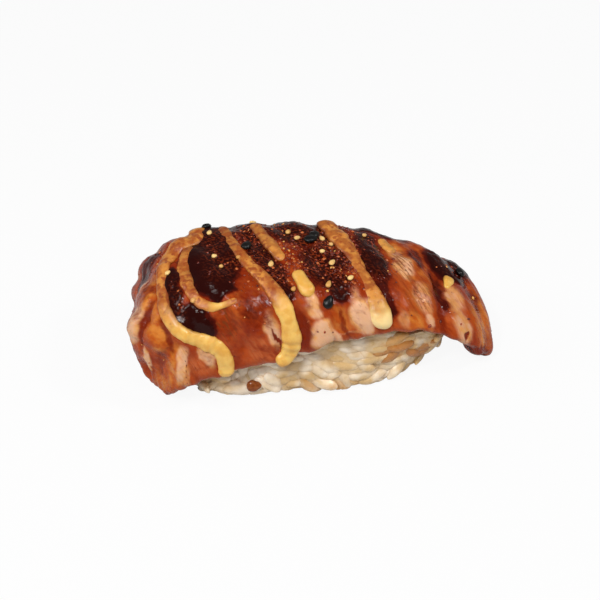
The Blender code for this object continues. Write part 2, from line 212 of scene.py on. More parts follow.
def noise(x, y, seed, octaves=2):
    """Smooth noise from -1 to 1 over the plane, one hump to a unit, always the same for a seed."""
    total, weight = 0, 0
    for octave in range(octaves):
        table = np.random.default_rng(seed + octave).uniform(-1, 1, (64, 64))
        px, py = x * 2 ** octave, y * 2 ** octave
        ix, iy = np.floor(px).astype(int), np.floor(py).astype(int)
        fx, fy = px - ix, py - iy
        fx, fy = fx * fx * (3 - 2 * fx), fy * fy * (3 - 2 * fy)
        corner = [table[(ix + i) % 64, (iy + j) % 64] for i in (0, 1) for j in (0, 1)]
        value = (corner[0] * (1 - fx) * (1 - fy) + corner[1] * (1 - fx) * fy
                 + corner[2] * fx * (1 - fy) + corner[3] * fx * fy)
        total = total + value / 2 ** octave
        weight += 1 / 2 ** octave
    return total / weight * 1.4


def flat_place(u, v):
    """Where (u, v), each from -1 to 1, lies on the flat slice: (a, b) in millimetres."""
    p = u * np.sqrt(1 - CORNER_ROUNDING * v * v / 2)
    q = v * np.sqrt(1 - CORNER_ROUNDING * u * u / 2)
    a = curve_through(q, LEFT_END) * (1 - p) / 2 + curve_through(q, RIGHT_END) * (1 + p) / 2
    b = curve_through(p, FRONT_EDGE) * (1 - q) / 2 + curve_through(p, BACK_EDGE) * (1 + q) / 2
    return a, b


def drape(a, b):
    """Bend the flat slice down over the rice: (a, b) to a point on its upper side."""
    half = curve_through(a, FLAT_HALF_WIDTH)
    near_a, near_b = np.clip(a, FLAT_LEFT, FLAT_RIGHT), np.clip(b, -half, half)
    over_a, over_b = a - near_a, b - near_b
    reach = np.hypot(over_a, over_b)
    way_a, way_b = over_a / np.maximum(reach, 1e-9), over_b / np.maximum(reach, 1e-9)

    def blend(sides):
        lengthwise = np.where(over_a < 0, sides["left"], sides["right"])
        crosswise = np.where(over_b < 0, sides["front"], sides["back"])
        return way_a ** 2 * lengthwise + way_b ** 2 * crosswise

    steps = (np.arange(48) + 0.5) / 48
    bent = smooth_step(reach[..., None] * steps, 0, np.maximum(blend(BEND), 1)[..., None])
    angle = np.radians(blend(TURN))[..., None] * bent
    outward = np.cos(angle).mean(-1) * reach
    drop = np.sin(angle).mean(-1) * reach
    x = near_a + way_a * outward
    y = near_b + way_b * outward
    z = curve_through(x, CREST) - drop - CROWN * np.abs(near_b)
    return np.stack([x, y, z], -1)


def patches(a, b, table, soft=0.45):
    """The strongest of a table's leaning oval patches at (a, b), from 0 to their strength."""
    a = a + 0.5 * noise(a / 2.2, b / 2.2, 11)
    b = b + 0.9 * noise(a / 2.2, b / 2.2, 12)
    most = np.zeros(np.shape(a))
    for place_a, place_b, half_length, half_width, lean, strength in table:
        sin, cos = math.sin(math.radians(lean)), math.cos(math.radians(lean))
        along = ((a - place_a) * sin - (b - place_b) * cos) / half_length
        across = ((a - place_a) * cos + (b - place_b) * sin) / half_width
        most = np.maximum(most, strength * smooth_step(-np.hypot(along, across), -1 - soft, -1 + soft))
    return most


def lumps(a, b):
    """The larger lumps and hollows at (a, b), in millimetres."""
    total = np.zeros(np.shape(a))
    for place_a, place_b, half_length, half_width, lean, height in LUMPS:
        sin, cos = math.sin(math.radians(lean)), math.cos(math.radians(lean))
        along = ((a - place_a) * sin - (b - place_b) * cos) / half_length
        across = ((a - place_a) * cos + (b - place_b) * sin) / half_width
        total = total + height * np.exp(-1.2 * (along ** 2 + across ** 2))
    return total


def band_line(a, b):
    """Counts the lines of fat: a whole number on each, halves between them."""
    c = a + BAND_SLANT * b + 1.1 * noise(a / 8, b / 8, 21)
    return np.interp(c, FAT_LINES, np.arange(len(FAT_LINES)))


def fat_field(a, b):
    """How fatty, and so how pale, the flesh is at (a, b)."""
    line = band_line(a, b)
    stripe = np.abs(np.cos(np.pi * line)) ** 10 * (0.75 + 0.25 * noise(a / 3, b / 3, 22))
    behind = smooth_step(b, 5, 10)
    return np.clip(np.maximum(patches(a, b, FAT_PATCHES), stripe * (0.14 + 0.6 * behind)), 0, 1)


def glaze_field(a, b):
    """Depth of the glaze at (a, b), from 0 to about 1."""
    pools = 1 - patches(a, b, GLAZE_POOLS, soft=0.35)
    film = 0.10 + 0.16 * noise(a / 4.5, b / 4.5, 31)
    film = film + 0.12 * smooth_step(b, -14, -2) * smooth_step(-a, -37, -30)
    behind = 0.5 * smooth_step(noise(a / 6, b / 5, 33) - smooth_step(b, 9, 15), -0.6, 0.5)
    behind = behind * smooth_step(b, 4, 9)
    behind = behind * smooth_step(-a, -35, -27)
    return np.clip(1 - pools * (1 - np.maximum(film, behind)) + 0.10 * noise(a / 1.3, b / 1.3, 32), 0, 1)


def spice_field(a, b):
    """How thickly the fine spice crumbs lie at (a, b)."""
    top = smooth_step(b, -13, -7) * smooth_step(-b, -14, -6)
    middle = smooth_step(a, -15, -9) * smooth_step(-a, -13, -8)
    pools = patches(a, b, ((-28.5, 3.5, 6, 2.2, -6, 0.35), (-24.5, -9, 5, 1.6, 0, 0.35),
                           (-16, 1, 8, 4, 0, 0.5),
                           (14, 0, 8, 3.4, 8, 0.4), (30, 3, 4, 3, 50, 0.35), (34, -3, 3, 2, 10, 0.2)))
    clumps = 0.4 + 0.6 * smooth_step(noise(a / 3, b / 3, 34), -0.4, 0.3)
    return np.clip((top * middle + pools) * clumps, 0, 1)


def relief(a, b):
    """How far the slice's surface stands above its drape at (a, b): bands, creases, pillows, blisters."""
    line = np.interp(a + BAND_SLANT * b, FAT_LINES, np.arange(len(FAT_LINES)))
    bands = BAND_RELIEF * (1 - 2 * np.abs(np.cos(np.pi * line)) ** 3)
    away = np.hypot(a - FOLD_CENTRE[0], b - FOLD_CENTRE[1])
    turn = np.arctan2(b - FOLD_CENTRE[1], -(a - FOLD_CENTRE[0]))
    creases = FOLD_DEPTH * np.cos(FOLD_PITCH * turn + FOLD_PHASE) * smooth_step(away, 10, 22)
    creases = creases * smooth_step(-a, 24, 34)
    pillows = 0.28 * patches(a, b, FAT_PATCHES, soft=0.6) - 0.34 * patches(a, b, DARK_PATCHES, soft=0.6)
    pillows = pillows + lumps(a, b)
    fibre = 0.045 * noise((a + BAND_SLANT * b) / 0.7, b / 5, 41)
    blisters = 0.10 * noise(a / 2.4, b / 2.4, 42) + 0.04 * noise(a / 0.8, b / 0.8, 43)
    return bands + creases + pillows + fibre + blisters


def way_out(a, b):
    """The way out of the drape at (a, b)."""
    along = drape(a + 0.05, b) - drape(a - 0.05, b)
    across = drape(a, b + 0.05) - drape(a, b - 0.05)
    out = np.cross(along, across)
    return out / np.linalg.norm(out, axis=-1, keepdims=True)


def upper_side(a, b, height=0.0):
    """A point `height` above the slice's surface at (a, b), and the way out of the slice there."""
    a, b, height = (np.asarray(value, float) for value in np.broadcast_arrays(a, b, height))
    out = way_out(a, b)
    return drape(a, b) + out * (relief(a, b) + height)[..., None], out


def rim_distance(u, v):
    """Roughly how many millimetres in from the slice's edge (u, v) lies."""
    lengthwise = np.maximum(1 - np.abs(u), 1e-6) * HALF_LENGTH
    crosswise = np.maximum(1 - np.abs(v), 1e-6) * HALF_WIDTH
    return (lengthwise ** -4 + crosswise ** -4) ** -0.25


# ---- meshes ----

def make_object(name, points, faces, material, fields=None, sheet=None, smooth=True):
    """An object from points in millimetres. fields are numbers for each point, which its material reads."""
    mesh = bpy.data.meshes.new(name)
    mesh.from_pydata((np.asarray(points) * MM).tolist(), [], np.asarray(faces).tolist())
    for field, values in (fields or {}).items():
        layer = mesh.attributes.new(field, "FLOAT", "POINT")
        layer.data.foreach_set("value", np.asarray(values, np.float32).ravel())
    if sheet is not None:
        corners = np.zeros(len(mesh.loops), np.int32)
        mesh.loops.foreach_get("vertex_index", corners)
        layer = mesh.uv_layers.new(name="Sheet")
        layer.data.foreach_set("uv", np.asarray(sheet, np.float32)[corners].ravel())
    mesh.materials.append(material)
    if smooth:
        mesh.shade_smooth()
    obj = bpy.data.objects.new(name, mesh)
    bpy.context.scene.collection.objects.link(obj)
    return obj


def grid_faces(rows, columns, start=0):
    """Quads of a grid of rows x columns points."""
    index = np.arange(rows * columns).reshape(rows, columns) + start
    return np.stack([index[:-1, :-1], index[1:, :-1], index[1:, 1:], index[:-1, 1:]], -1).reshape(-1, 4)


def ring_walls(top, bottom):
    """Quads between two rings of points that run the same way."""
    return np.stack([top, bottom, np.roll(bottom, -1), np.roll(top, -1)], -1)


def border(rows, columns):
    """Indices round the edge of a grid of points."""
    index = np.arange(rows * columns).reshape(rows, columns)
    return np.concatenate([index[0, :-1], index[:-1, -1], index[-1, :0:-1], index[:0:-1, 0]])


def slice_grid():
    """(u, v) of the fine slice's points, closer together towards its rim."""
    across, along = SLICE_GRID[1], SLICE_GRID[0]
    s, t = np.meshgrid(np.linspace(-1, 1, along), np.linspace(-1, 1, across), indexing="ij")
    return 0.65 * s + 0.35 * np.sin(s * math.pi / 2), 0.55 * t + 0.45 * np.sin(t * math.pi / 2)


def ragged_place(u, v):
    """(a, b) on the flat slice, with its outline a little uneven, as a knife leaves it."""
    a, b = flat_place(u, v)
    edge = smooth_step(np.maximum(np.abs(u), np.abs(v)), 0.7, 1)
    return a + 0.5 * edge * noise(b / 4, b / 4, 51), b + 0.55 * edge * noise(a / 3.2, 7 + a * 0, 52)


def make_slice(material):
    """The salmon slice as a closed mesh: its upper side, its underside and the wall between them."""
    u, v = slice_grid()
    a, b = ragged_place(u, v)
    full = SLICE_END_THICKNESS + (SLICE_THICKNESS - SLICE_END_THICKNESS) * (1 - np.abs(u) ** 3)
    inward = np.clip(rim_distance(u, v) / RIM_ROUNDING, 0, 1)
    thickness = RIM_THICKNESS + (full - RIM_THICKNESS) * np.sqrt(1 - (1 - inward) ** 2)
    upper, out = upper_side(a, b, (thickness - full) / 2)
    lower = upper - out * thickness[..., None]
    rows, columns = u.shape
    count = rows * columns
    points = np.concatenate([upper.reshape(-1, 3), lower.reshape(-1, 3)])
    rim = border(rows, columns)
    faces = np.concatenate([grid_faces(rows, columns), grid_faces(rows, columns, count)[:, ::-1],
                            ring_walls(rim, rim + count)])
    under = np.repeat([0.0, 1.0], count)

    def twice(field):
        """A field of the upper side, repeated for the underside."""
        return np.concatenate([field.ravel(), field.ravel()])

    fields = {
        "fat": twice(fat_field(a, b)) * (1 - 0.3 * under),
        "glaze": twice(glaze_field(a, b)) * (1 - under),
        "orange_and_lit": twice(patches(a, b, ORANGE_AND_LIT_PATCHES, soft=0.7)),
        "raw": twice(patches(a, b, RAW_PATCHES, soft=0.7)),
        "dark": twice(patches(a, b, DARK_PATCHES)),
        "char": twice(patches(a, b, CHAR_PATCHES, soft=0.6)) * (1 - under),
        "score": twice(patches(a, b, SCORE_PATCHES, soft=0.6)) * (1 - under),
        "rim": np.maximum(twice(1 - smooth_step(rim_distance(u, v), 0.2, 2.6)), under),
        "spice": twice(spice_field(a, b)) * (1 - under),
    }
    sheet = np.column_stack([twice(a + BAND_SLANT * b), twice(b)]) / 10
    obj = make_object("salmon_fillet", points, faces, material, fields, sheet)
    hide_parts("salmon_slice")
    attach(obj, "root")
    return obj


def make_glaze(material):
    """The dark glaze where it is deep enough to stand on the slice, its edges running under the surface."""
    u, v = slice_grid()
    a, b = ragged_place(u, v)
    depth = glaze_field(a, b) * smooth_step(rim_distance(u, v), 0.8, 3.5)
    ripple = 0.05 * noise(a / 1.6, b / 1.6, 61) * smooth_step(depth, 0.5, 0.8)
    height = np.clip(GLAZE_HEIGHT * (depth - GLAZE_EDGE) + ripple, -0.2, 1)
    points = upper_side(a, b, height)[0]
    rows, columns = u.shape
    faces = grid_faces(rows, columns)
    kept = faces[(height.ravel()[faces] > -0.12).any(1)]
    used, kept = np.unique(kept, return_inverse=True)
    kept = kept.reshape(-1, 4)
    fields = {"glaze": depth.ravel()[used], "spice": spice_field(a, b).ravel()[used]}
    sheet = np.column_stack([(a + BAND_SLANT * b).ravel(), b.ravel()])[used] / 10
    obj = make_object("glaze", points.reshape(-1, 3)[used], kept, material, fields, sheet)
    solid = obj.modifiers.new("Depth", "SOLIDIFY")
    solid.thickness = 0.35 * MM
    solid.offset = -1
    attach(obj, "root")
    return obj


def make_strand(name, places, widths, material, seed):
    """One bead of mayonnaise, a rounded ribbon that lies on the slice, with blunt ends."""
    knots = np.array(places, float)
    lengths = np.concatenate([[0], np.cumsum(np.hypot(*np.diff(knots, axis=0).T))])
    steps = max(16, int(lengths[-1] / 0.3))
    t = (1 - np.cos(np.linspace(0, math.pi, steps))) / 2
    t = 0.5 * t + 0.5 * np.linspace(0, 1, steps)
    along = t * lengths[-1]
    a = curve_through(along, np.column_stack([lengths, knots[:, 0]]))
    b = curve_through(along, np.column_stack([lengths, knots[:, 1]]))
    side_a, side_b = -np.gradient(b), np.gradient(a)
    size = np.hypot(side_a, side_b)
    side_a, side_b = side_a / size, side_b / size
    width = curve_through(t, np.column_stack([np.linspace(0, 1, len(widths)), widths]))
    wobble = 0.14 * noise(along / 2.6, along * 0, seed) + 0.06 * noise(along / 0.9, along * 0, seed + 3)
    width = width * (1 + wobble)
    end = np.minimum(along, lengths[-1] - along) / (0.5 * width)
    blunt = np.sqrt(1 - (1 - np.clip(end, 0, 1)) ** 2)
    turn = np.linspace(0, 2 * math.pi, 28, endpoint=False)
    across = np.cos(turn)[None] * (width * blunt)[:, None] / 2
    place_a = a[:, None] + side_a[:, None] * across
    place_b = b[:, None] + side_b[:, None] * across
    round_height = np.where(np.sin(turn) > 0, np.abs(np.sin(turn)) ** 0.7, -0.35 * np.abs(np.sin(turn)))
    torch = smooth_step(b[:, None] + 2.2 * noise(place_a / 2.5, place_b / 2.5, seed + 2), -17, -8)
    torch = torch * TORCHED.get(name, 1)
    tall = STRAND_HEIGHT * (1 - 0.3 * torch) * (width * np.clip(blunt, 0.12, 1))[:, None]
    rise = tall * round_height[None] - 0.12
    wave = 0.08 * noise(along[:, None] / 1.3 + 0 * across, across / 1.1, seed + 1)
    out = way_out(place_a, place_b)
    points = drape(place_a, place_b) + out * (relief(a, b)[:, None] + rise + wave)[..., None]
    rows, columns = place_a.shape
    index = np.arange(rows * columns).reshape(rows, columns)
    turned = np.roll(index, -1, axis=1)
    faces = np.stack([index[:-1], turned[:-1], turned[1:], index[1:]], -1).reshape(-1, 4).tolist()
    faces = faces + [index[0][::-1].tolist(), index[-1].tolist()]
    mesh_points = points.reshape(-1, 3)
    stain = smooth_step(glaze_field(place_a, place_b), 0.3, 0.8) * (1 - np.clip(rise / 0.7, 0, 1))
    mesh = bpy.data.meshes.new(name)
    mesh.from_pydata((mesh_points * MM).tolist(), [], faces)
    bulb = smooth_step(place_a, 9, 12) * smooth_step(-place_b, 12, 15)
    for field, values in (("torch", torch), ("stain", stain), ("cream", bulb)):
        layer = mesh.attributes.new(field, "FLOAT", "POINT")
        layer.data.foreach_set("value", values.astype(np.float32).ravel())
    mesh.materials.append(material)
    mesh.shade_smooth()
    return mesh


def make_strands(material):
    for seed, (name, places, widths) in enumerate(STRANDS):
        mesh = make_strand(name, places, widths, material, 100 + 10 * seed)
        obj = bpy.data.objects.new(name.replace("strand", "bead"), mesh)
        bpy.context.scene.collection.objects.link(obj)
        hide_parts(name)
        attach(obj, "root")


def ball(rings, segments):
    """Points and faces of a unit sphere, long axis along x."""
    rise = np.linspace(0, math.pi, rings + 2)[1:-1]
    turn = np.linspace(0, 2 * math.pi, segments, endpoint=False)
    x = np.repeat(np.cos(rise), segments)
    y = (np.sin(rise)[:, None] * np.cos(turn)).ravel()
    z = (np.sin(rise)[:, None] * np.sin(turn)).ravel()
    points = np.concatenate([np.column_stack([x, y, z]), [[1, 0, 0], [-1, 0, 0]]])
    index = np.arange(rings * segments).reshape(rings, segments)
    turned = np.roll(index, -1, axis=1)
    sides = np.stack([index[:-1], index[1:], turned[1:], turned[:-1]], -1).reshape(-1, 4).tolist()
    first, last = len(points) - 2, len(points) - 1
    caps = [[first, i, j] for i, j in zip(index[0], turned[0])]
    caps += [[last, j, i] for i, j in zip(index[-1], turned[-1])]
    return points, sides + [[int(k) for k in cap] for cap in caps]


def join_shapes(name, shapes, material, fields):
    """One object of many small closed shapes, (points, faces) each; a field has one number for each shape."""
    points, faces, start = [], [], 0
    for shape_points, shape_faces in shapes:
        points.append(shape_points)
        faces += [[index + start for index in face] for face in shape_faces]
        start += len(shape_points)
    mesh = bpy.data.meshes.new(name)
    mesh.from_pydata((np.concatenate(points) * MM).tolist(), [], faces)
    counts = [len(shape_points) for shape_points, _ in shapes]
    for field, values in fields.items():
        layer = mesh.attributes.new(field, "FLOAT", "POINT")
        layer.data.foreach_set("value", np.repeat(np.asarray(values, np.float32), counts))
    mesh.materials.append(material)
    mesh.shade_smooth()
    obj = bpy.data.objects.new(name, mesh)
    bpy.context.scene.collection.objects.link(obj)
    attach(obj, "root")
    return obj


def axes_on_slice(a, b, turn, height):
    """A place on the slice, and the directions of something lying there, turned by `turn` degrees."""
    point, out = upper_side(np.array([a]), np.array([b]), height)
    along = drape(np.array([a + 0.1]), np.array([b]))[0] - drape(np.array([a - 0.1]), np.array([b]))[0]
    out = out[0]
    along -= out * along.dot(out)
    along /= np.linalg.norm(along)
    across = np.cross(out, along)
    cos, sin = math.cos(math.radians(turn)), math.sin(math.radians(turn))
    return point[0], along * cos + across * sin, across * cos - along * sin, out


def seed_shape(length, width, depth, point, axes, rng):
    """A sesame seed: an egg pointed at one end, flat, a little uneven."""
    points, faces = ball(9, 12)
    taper = 1 - 0.28 * points[:, 0]
    bumps = 1 + 0.09 * rng.uniform(-1, 1, len(points))
    narrowing = np.column_stack([np.ones(len(points)), taper * bumps, taper * bumps])
    local = points * [length / 2, width / 2, depth / 2] * narrowing
    return local @ np.array(axes) + point, faces


def make_seeds(name, table, width, depth, material, seed):
    rng = np.random.default_rng(seed)
    shapes = []
    for a, b, turn, length in table:
        point, *axes = axes_on_slice(a, b, turn, 0.25 * depth + 0.25)
        size = length / table[0][3]
        shapes.append(seed_shape(length, width * (0.6 + 0.4 * size), depth, point, axes, rng))
    obj = join_shapes(name, shapes, material, {"shade": rng.uniform(0, 1, len(shapes))})


def make_crumbs(material, count=2100):
    """Fine spice crumbs: small angular lumps strewn over the top, thick where spice_field says."""
    rng = np.random.default_rng(7)
    base, faces = ball(3, 6)
    a, b = flat_place(*rng.uniform(-0.96, 0.96, (2, count * 10)))
    chosen = np.flatnonzero(rng.uniform(0, 1, count * 10) < spice_field(a, b) ** 1.3 + 0.004)[:count]
    size = 0.10 + 0.26 * rng.uniform(0, 1, len(chosen)) ** 3
    lift = 0.4 * GLAZE_HEIGHT * np.clip(glaze_field(a[chosen], b[chosen]) - GLAZE_EDGE, 0, 1)
    point, out = upper_side(a[chosen], b[chosen], lift + 0.15 * size)
    shapes = []
    for place, way, radius in zip(point, out, size):
        spin = Matrix.Rotation(rng.uniform(0, 6.28), 3, Vector(rng.normal(size=3)))
        stretch = rng.uniform(0.6, 1.35, 3)
        local = (base * (radius * stretch) * rng.uniform(0.75, 1.2, (len(base), 1))) @ np.array(spin)
        local -= 0.35 * np.outer(local @ way, way)
        shapes.append((local + place, faces))
    obj = join_shapes("spice_crumbs", shapes, material, {"shade": rng.uniform(0, 1, len(shapes))})


def rice_surface():
    """The points of the CAD rice bed in millimetres, and its triangles."""
    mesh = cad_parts["rice_bed"].data
    mesh.calc_loop_triangles()
    points = np.array([vert.co for vert in mesh.vertices]) / MM
    triangles = np.array([tri.vertices for tri in mesh.loop_triangles])
    return points, triangles


def grain_shape(point, axes, scale, bend, rng):
    """One cooked grain: a plump rounded rod, slightly bent, flatter underneath."""
    points, faces = ball(11, 12)
    x, y, z = points.T
    plump = np.sign(x) * np.abs(x) ** 0.9
    girth = 1 + 0.08 * np.sin(3 * x + rng.uniform(0, 6))
    local = np.column_stack([plump * GRAIN_LENGTH / 2, y * girth * GRAIN_WIDTH / 2,
                             z * girth * GRAIN_DEPTH / 2])
    local[:, 1] += bend * (x * x - 0.4)
    local[:, 2] -= 0.35 * (x * x)
    return (local * scale) @ np.array(axes) + point, faces


def make_rice(core_material, grain_material):
    """Real grains laid over a slightly smaller core."""
    points, triangles = rice_surface()
    sides = points - np.array(RICE_MIDDLE)
    reach = np.linalg.norm(sides * [0.5, 1, 1], axis=1, keepdims=True)
    inward = sides / np.linalg.norm(sides, axis=1, keepdims=True) * CORE_INSET
    shrunk = points - inward * smooth_step(reach, 2, 6)
    shrunk[:, 2] = np.maximum(shrunk[:, 2], np.minimum(points[:, 2], 0.35))
    sauce_and_shade_amounts = [sauce_and_shade(place) for place in points]
    core = make_object("rice_core", shrunk, triangles, core_material, {"sauce_and_shade": sauce_and_shade_amounts})
    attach(core, "root")

    rng = np.random.default_rng(5)
    corner = points[triangles]
    normal = np.cross(corner[:, 1] - corner[:, 0], corner[:, 2] - corner[:, 0])
    area = np.linalg.norm(normal, axis=1) / 2
    normal /= np.maximum(2 * area[:, None], 1e-9)
    wanted = area * (normal[:, 2] > -GRAIN_SIDES) * (normal[:, 2] < GRAIN_SIDES)
    picks = rng.choice(len(triangles), GRAIN_COUNT * 10, p=wanted / wanted.sum())
    places, ways = [], []
    for pick in picks:
        weights = rng.dirichlet((1, 1, 1))
        place = weights @ corner[pick]
        if all(np.linalg.norm(place - other) > GRAIN_SPACING for other in places):
            places.append(place)
            ways.append(normal[pick])
        if len(places) == GRAIN_COUNT:
            break
    cad_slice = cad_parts["salmon_slice"].data
    salmon = BVHTree.FromPolygons([vert.co / MM for vert in cad_slice.vertices],
                                  [tuple(face.vertices) for face in cad_slice.polygons])
    shapes, shade, sauce_and_shade_amounts = [], [], []
    for place, out in zip(places, ways):
        level = np.cross([0, 0, 1], out)
        level /= max(np.linalg.norm(level), 1e-6)
        upright = np.cross(out, level)
        distance = salmon.find_nearest(Vector(place))[3]
        free = float(smooth_step(distance, 1.5, 4.5) * smooth_step(-place[2], -9.5, -6))
        lean = 1.1 * float(noise(place[0] / 7, place[2] / 7, 71)) + rng.normal(0, 0.35)
        lean = lean * (0.15 + 0.85 * free)
        along = level * math.cos(lean) + upright * math.sin(lean)
        tip = rng.normal(0, 0.12) * (0.3 + 0.7 * free)
        along = along * math.cos(tip) + out * math.sin(tip)
        across = np.cross(out, along)
        across /= np.linalg.norm(across)
        away = np.cross(along, across)
        scale = rng.uniform(0.82, 1.08)
        sunk = GRAIN_DEPTH * scale * (rng.uniform(0.38, 0.56) * free + 0.54 * (1 - free))
        shape, faces = grain_shape(place - out * sunk, (along, across, away), scale, rng.normal(0, 0.5), rng)
        shape = shape + out * 0.3 * noise(shape[:, :1] / 2.4, shape[:, 2:] / 2.4, 72)
        flattened = 0.05 + 0.55 * np.exp((shape[:, 2] - 0.6) / 0.55)
        shape[:, 2] = np.where(shape[:, 2] < 0.6, flattened, shape[:, 2])
        if distance < 0.8:
            shape = shape - out * 0.5 * (0.8 - distance)
        shapes.append((shape, faces))
        # painted light: the last term lightens the grains towards the left, where the overhanging slice
        # shades them
        shade.append(0.15 + 0.25 * rng.uniform() + 0.6 * float(smooth_step(-place[0], -4, 12)))
        sauce_and_shade_amounts.append(sauce_and_shade(place) + 0.12 * rng.uniform())
    grains = join_shapes("rice_grains", shapes, grain_material, {"shade": shade, "sauce_and_shade": sauce_and_shade_amounts})
    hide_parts("rice_bed")


def make_sauce_drop(material):
    """The drop of sauce that has run onto the front of the rice."""
    points, triangles = rice_surface()
    rice = BVHTree.FromPolygons(points.tolist(), triangles.tolist())
    place, out = rice.find_nearest(Vector(SAUCE_DROP))[:2]
    out = np.array(out)
    level = np.cross([0, 0, 1], out)
    level /= np.linalg.norm(level)
    axes = (level, np.cross(out, level), out)
    drop = seed_shape(3.0, 2.3, 1.1, np.array(place) + 0.45 * out, axes, np.random.default_rng(9))
    obj = join_shapes("sauce_drop", [drop], material, {"shade": [0.5]})


def sauce_and_shade(place):
    """How much sauce the rice at this place has taken up, and painted shade on the rice low down."""
    x, y, z = place
    most = 0
    for sx, sy, sz, wide, tall, strength in SAUCE_AND_SHADE_SPOTS:
        away = math.hypot(math.hypot(x - sx, y - sy) / wide, (z - sz) / tall)
        most = max(most, strength * float(smooth_step(-away, -1.4, -0.6)))
    # painted shade: this term darkens the rice's lowest few millimetres, where little light reaches
    return most + 0.1 * float(smooth_step(-z, -4, -1))


# ---- materials ----

def srgb(red, green, blue):
    """A colour written as 0-255 sRGB, as linear numbers."""
    linear = [value / 255 / 12.92 if value <= 10 else ((value / 255 + 0.055) / 1.055) ** 2.4
              for value in (red, green, blue)]
    return (*linear, 1)


class Nodes:
    """Short ways to add and join a material's nodes."""

    def __init__(self, name):
        self.material = bpy.data.materials.new(name)
        self.material.use_nodes = True
        self.tree = self.material.node_tree
        self.shader = self.tree.nodes["Principled BSDF"]

    def link(self, source, socket):
        if isinstance(source, (int, float)):
            socket.default_value = source
        elif isinstance(source, tuple):
            socket.default_value = source
        else:
            self.tree.links.new(source, socket)

    def node(self, kind, settings=None, **inputs):
        node = self.tree.nodes.new(kind)
        for key, value in (settings or {}).items():
            setattr(node, key, value)
        for key, value in inputs.items():
            self.link(value, node.inputs[key.replace("_", " ")])
        return node

    def field(self, name):
        return self.node("ShaderNodeAttribute", {"attribute_name": name}).outputs["Fac"]

    def place(self, stretch=(1, 1, 1), sheet=False):
        """Coordinates in millimetres of the object, or of the flat slice, divided by `stretch`."""
        if sheet:
            source = self.node("ShaderNodeUVMap", {"uv_map": "Sheet"}).outputs["UV"]
            unit = 10
        else:
            source = self.node("ShaderNodeTexCoord").outputs["Object"]
            unit = 1 / MM
        mapping = self.node("ShaderNodeMapping", Vector=source)
        mapping.inputs["Scale"].default_value = [unit / value for value in stretch]
        return mapping.outputs["Vector"]

    def noise(self, size, detail=2, sheet=False, rough=0.5):
        """Noise with humps about `size` millimetres wide, one number or one for each direction."""
        stretch = size if isinstance(size, tuple) else (size, size, size)
        node = self.node("ShaderNodeTexNoise", Vector=self.place(stretch, sheet))
        node.inputs["Scale"].default_value = 1
        node.inputs["Detail"].default_value = detail
        node.inputs["Roughness"].default_value = rough
        return node.outputs["Fac"]

    def math(self, operation, first, second=0.0, clamp=False):
        node = self.node("ShaderNodeMath", {"operation": operation, "use_clamp": clamp})
        self.link(first, node.inputs[0])
        self.link(second, node.inputs[1])
        return node.outputs[0]

    def step(self, value, low, high, to_low=0.0, to_high=1.0):
        node = self.node("ShaderNodeMapRange", {"interpolation_type": "SMOOTHSTEP"}, Value=value)
        node.inputs["From Min"].default_value = low
        node.inputs["From Max"].default_value = high
        node.inputs["To Min"].default_value = to_low
        node.inputs["To Max"].default_value = to_high
        return node.outputs["Result"]

    def mix(self, factor, first, second, blend="MIX"):
        node = self.node("ShaderNodeMix", {"data_type": "RGBA", "blend_type": blend})
        self.link(factor, node.inputs[0])
        self.link(first, node.inputs[6])
        self.link(second, node.inputs[7])
        return node.outputs[2]

    def bump(self, height, distance, strength=1.0, under=None):
        """Bump of `distance` millimetres."""
        node = self.node("ShaderNodeBump", Height=height)
        node.inputs["Strength"].default_value = strength
        node.inputs["Distance"].default_value = distance * MM
        if under is not None:
            self.link(under, node.inputs["Normal"])
        return node.outputs["Normal"]

    def finish(self, colour, roughness, normal=None, subsurface=0.0, radius=(1, 0.4, 0.2), scale=1.5):
        self.link(colour, self.shader.inputs["Base Color"])
        self.link(roughness, self.shader.inputs["Roughness"])
        if normal is not None:
            self.link(normal, self.shader.inputs["Normal"])
        self.shader.inputs["Subsurface Weight"].default_value = subsurface
        self.shader.inputs["Subsurface Radius"].default_value = radius
        self.shader.inputs["Subsurface Scale"].default_value = scale * MM
        return self.material


